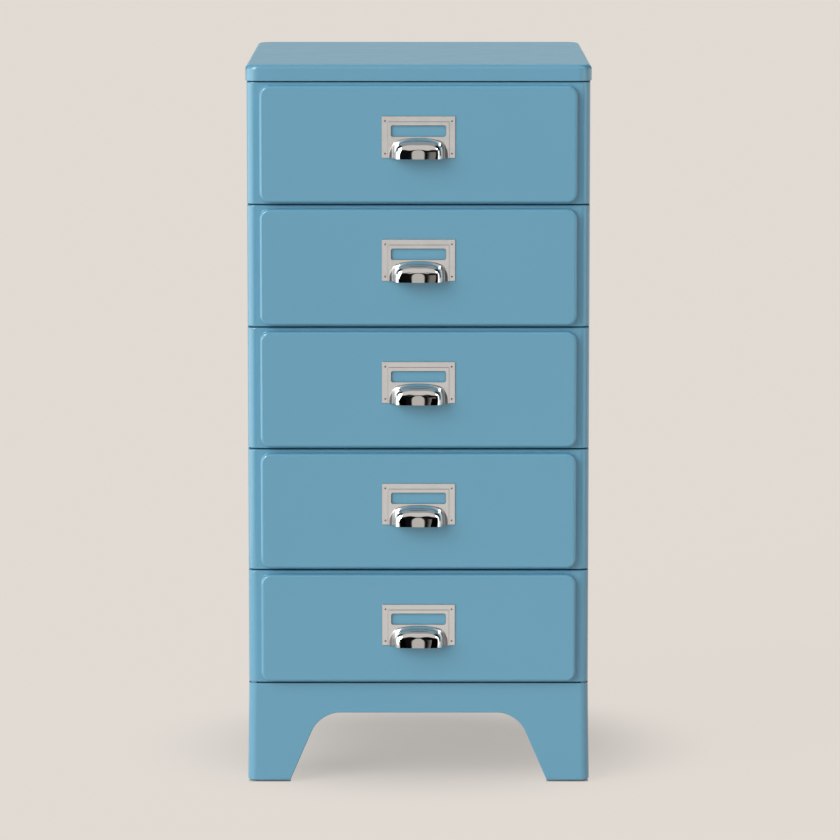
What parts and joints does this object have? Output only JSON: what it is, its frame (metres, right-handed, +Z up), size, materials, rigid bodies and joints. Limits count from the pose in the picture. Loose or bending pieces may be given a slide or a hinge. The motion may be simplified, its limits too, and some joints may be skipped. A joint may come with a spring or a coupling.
{
  "type": "small metal drawer cabinet",
  "caption": "Narrow pressed-steel drawer cabinet in blue enamel with raised drawer fronts, label-frame cup pulls, a rounded lid and an arched bracket-foot plinth.",
  "frame": {"origin": "on the floor under the middle of the overall box, pulls included", "axes": "+Z up, drawers open towards -Y, +X to the right of someone facing the drawers"},
  "size_m": [0.343, 0.4247, 0.7201],
  "materials": {
    "blue_enamel": "semi-gloss enamel",
    "nickel_chrome": "polished",
    "zinc_steel": "zinc plated",
    "nylon": "matte",
    "black_pad": "matte"
  },
  "bodies": {
    "cabinet": {"top_cover": "blue_enamel", "left_side_panel": "blue_enamel", "right_side_panel": "blue_enamel", "back_panel": "blue_enamel", "bottom_panel": "blue_enamel", "top_rail": "blue_enamel", "divider_rail_1": "blue_enamel", "divider_rail_2": "blue_enamel", "divider_rail_3": "blue_enamel", "divider_rail_4": "blue_enamel", "plinth": "blue_enamel", "foot_pads": "black_pad", "plinth_screws": "zinc_steel", "back_screws": "zinc_steel", "left_runner_1": "zinc_steel", "right_runner_1": "zinc_steel", "left_runner_2": "zinc_steel", "right_runner_2": "zinc_steel", "left_runner_3": "zinc_steel", "right_runner_3": "zinc_steel", "left_runner_4": "zinc_steel", "right_runner_4": "zinc_steel", "left_runner_5": "zinc_steel", "right_runner_5": "zinc_steel"},
    "drawer_1": {"drawer_1_front": "blue_enamel", "drawer_1_inner_front": "blue_enamel", "drawer_1_tray": "blue_enamel", "drawer_1_glides": "nylon", "drawer_1_pull": "nickel_chrome", "drawer_1_pull_pins": "nickel_chrome"},
    "drawer_2": {"drawer_2_front": "blue_enamel", "drawer_2_inner_front": "blue_enamel", "drawer_2_tray": "blue_enamel", "drawer_2_glides": "nylon", "drawer_2_pull": "nickel_chrome", "drawer_2_pull_pins": "nickel_chrome"},
    "drawer_3": {"drawer_3_front": "blue_enamel", "drawer_3_inner_front": "blue_enamel", "drawer_3_tray": "blue_enamel", "drawer_3_glides": "nylon", "drawer_3_pull": "nickel_chrome", "drawer_3_pull_pins": "nickel_chrome"},
    "drawer_4": {"drawer_4_front": "blue_enamel", "drawer_4_inner_front": "blue_enamel", "drawer_4_tray": "blue_enamel", "drawer_4_glides": "nylon", "drawer_4_pull": "nickel_chrome", "drawer_4_pull_pins": "nickel_chrome"},
    "drawer_5": {"drawer_5_front": "blue_enamel", "drawer_5_inner_front": "blue_enamel", "drawer_5_tray": "blue_enamel", "drawer_5_glides": "nylon", "drawer_5_pull": "nickel_chrome", "drawer_5_pull_pins": "nickel_chrome"}
  },
  "joints": [
    {"name": "drawer_1_slide", "type": "slide", "parent": "cabinet", "child": "drawer_1", "axis": [0, -1, 0], "range_m": [0, 0.31]},
    {"name": "drawer_2_slide", "type": "slide", "parent": "cabinet", "child": "drawer_2", "axis": [0, -1, 0], "range_m": [0, 0.31]},
    {"name": "drawer_3_slide", "type": "slide", "parent": "cabinet", "child": "drawer_3", "axis": [0, -1, 0], "range_m": [0, 0.31]},
    {"name": "drawer_4_slide", "type": "slide", "parent": "cabinet", "child": "drawer_4", "axis": [0, -1, 0], "range_m": [0, 0.31]},
    {"name": "drawer_5_slide", "type": "slide", "parent": "cabinet", "child": "drawer_5", "axis": [0, -1, 0], "range_m": [0, 0.31]}
  ]
}
